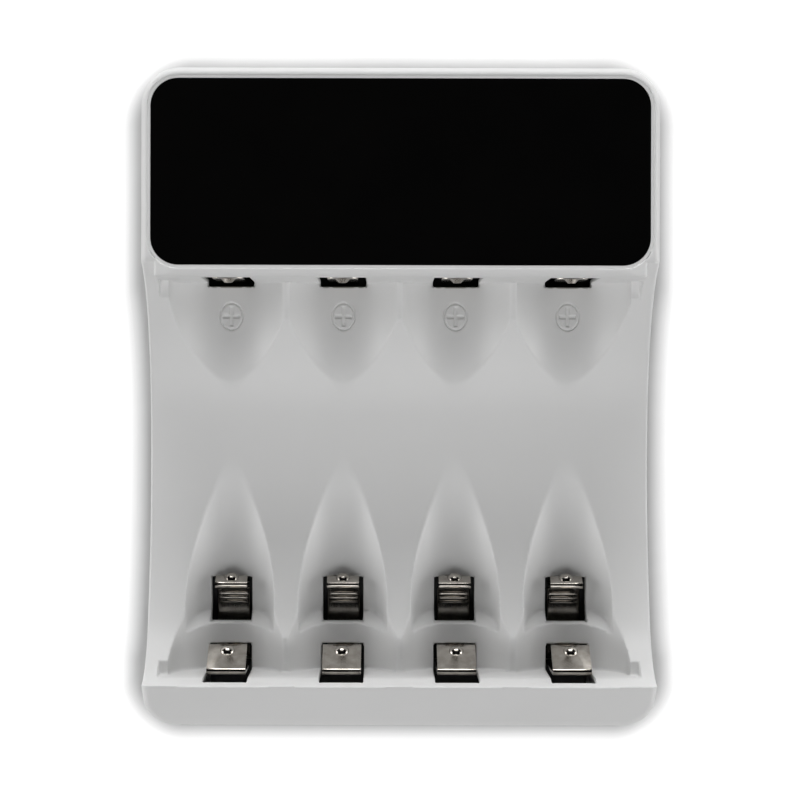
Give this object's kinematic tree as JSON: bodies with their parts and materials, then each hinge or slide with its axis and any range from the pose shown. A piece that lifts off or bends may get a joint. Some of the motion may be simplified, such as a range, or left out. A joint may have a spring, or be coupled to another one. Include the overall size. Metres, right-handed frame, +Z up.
{
  "type": "battery charger",
  "caption": "White bay-style USB charger for AA and AAA cells, with a black gloss display head, a saddle of round troughs and hairpin spring contacts at the foot.",
  "frame": {"origin": "middle of the underside, on the table", "axes": "+Z up out of the bays, +Y towards the head with the dark panel, +X across the bays"},
  "size_m": [0.069, 0.0886, 0.028],
  "materials": {
    "housing_white": "satin, fine spark texture",
    "frame_white": "satin",
    "panel_black": "polished",
    "board_black": "solder mask",
    "led_lens": "clear resin",
    "socket_steel": "drawn, nickel plated",
    "contact_nickel": "nickel plated strip",
    "black_plastic": "moulded",
    "ferrite_grey": "sintered",
    "can_aluminium": "drawn",
    "pin_brass": "plated",
    "screw_steel": "zinc plated"
  },
  "bodies": {
    "body": {"top_housing": "housing_white", "bottom_cover": "housing_white", "display_panel": "panel_black", "display_frame": "frame_white", "display_board": "board_black", "indicator_leds": "led_lens", "main_board": "board_black", "usb_shell": "socket_steel", "usb_tongue": "black_plastic", "controller_chip": "black_plastic", "charge_chips": "black_plastic", "inductor": "ferrite_grey", "capacitors": "can_aluminium", "header_pins": "pin_brass", "header_bar": "black_plastic", "cover_screws": "screw_steel", "positive_contact_1": "contact_nickel", "positive_contact_2": "contact_nickel", "positive_contact_3": "contact_nickel", "positive_contact_4": "contact_nickel", "contact_base_1": "contact_nickel", "contact_base_2": "contact_nickel", "contact_base_3": "contact_nickel", "contact_base_4": "contact_nickel"},
    "aa_leaf_1": {"aa_contact_1": "contact_nickel"},
    "aaa_leaf_1": {"aaa_contact_1": "contact_nickel"},
    "aa_leaf_2": {"aa_contact_2": "contact_nickel"},
    "aaa_leaf_2": {"aaa_contact_2": "contact_nickel"},
    "aa_leaf_3": {"aa_contact_3": "contact_nickel"},
    "aaa_leaf_3": {"aaa_contact_3": "contact_nickel"},
    "aa_leaf_4": {"aa_contact_4": "contact_nickel"},
    "aaa_leaf_4": {"aaa_contact_4": "contact_nickel"}
  },
  "joints": [
    {"name": "aa_leaf_1_flex", "type": "hinge", "parent": "body", "child": "aa_leaf_1", "pos_m": [-0.02318, -0.0364, 0.00396], "axis": [1, 0, 0], "range_deg": [0, 8], "stiffness_Nm_per_rad": 0.24},
    {"name": "aaa_leaf_1_flex", "type": "hinge", "parent": "body", "child": "aaa_leaf_1", "pos_m": [-0.02318, -0.02565, 0.00396], "axis": [1, 0, 0], "range_deg": [0, 40], "stiffness_Nm_per_rad": 0.03},
    {"name": "aa_leaf_2_flex", "type": "hinge", "parent": "body", "child": "aa_leaf_2", "pos_m": [-0.00773, -0.0364, 0.00396], "axis": [1, 0, 0], "range_deg": [0, 8], "stiffness_Nm_per_rad": 0.24},
    {"name": "aaa_leaf_2_flex", "type": "hinge", "parent": "body", "child": "aaa_leaf_2", "pos_m": [-0.00773, -0.02565, 0.00396], "axis": [1, 0, 0], "range_deg": [0, 40], "stiffness_Nm_per_rad": 0.03},
    {"name": "aa_leaf_3_flex", "type": "hinge", "parent": "body", "child": "aa_leaf_3", "pos_m": [0.00773, -0.0364, 0.00396], "axis": [1, 0, 0], "range_deg": [0, 8], "stiffness_Nm_per_rad": 0.24},
    {"name": "aaa_leaf_3_flex", "type": "hinge", "parent": "body", "child": "aaa_leaf_3", "pos_m": [0.00773, -0.02565, 0.00396], "axis": [1, 0, 0], "range_deg": [0, 40], "stiffness_Nm_per_rad": 0.03},
    {"name": "aa_leaf_4_flex", "type": "hinge", "parent": "body", "child": "aa_leaf_4", "pos_m": [0.02318, -0.0364, 0.00396], "axis": [1, 0, 0], "range_deg": [0, 8], "stiffness_Nm_per_rad": 0.24},
    {"name": "aaa_leaf_4_flex", "type": "hinge", "parent": "body", "child": "aaa_leaf_4", "pos_m": [0.02318, -0.02565, 0.00396], "axis": [1, 0, 0], "range_deg": [0, 40], "stiffness_Nm_per_rad": 0.03}
  ]
}
